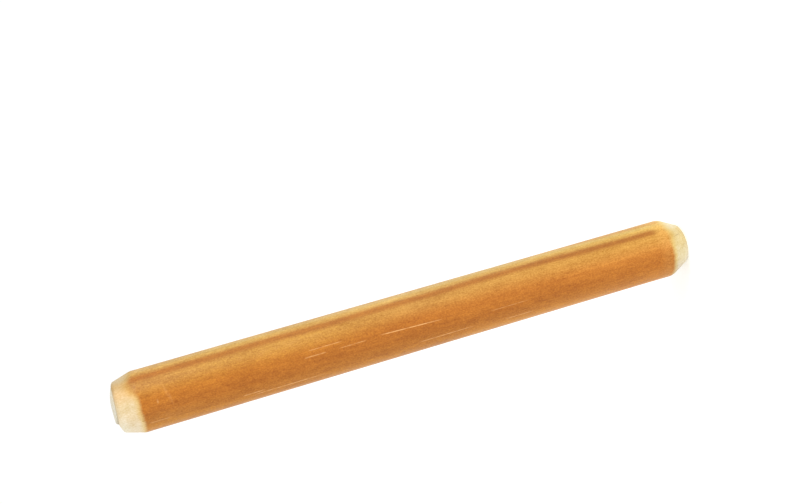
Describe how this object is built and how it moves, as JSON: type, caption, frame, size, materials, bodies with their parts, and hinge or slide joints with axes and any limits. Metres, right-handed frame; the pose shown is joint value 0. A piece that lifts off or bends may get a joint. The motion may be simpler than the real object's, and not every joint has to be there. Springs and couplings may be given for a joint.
{
  "type": "wooden peg",
  "caption": "Straight round wooden peg with a stained, satin-finished shank and bare tapered ends, for pushing into a drilled hole as a stop, pin or pivot.",
  "frame": {"origin": "middle of the flat lower end face, which the peg stands on", "axes": "+Z along the peg, from the flat lower end to the crowned upper end; X and Y are any two directions across it"},
  "size_m": [0.01, 0.01, 0.1],
  "materials": {
    "wood": "amber stain under a satin varnish on the shank, bare pale wood on the tapered ends"
  },
  "bodies": {
    "root": {"peg": "wood"}
  },
  "joints": []
}
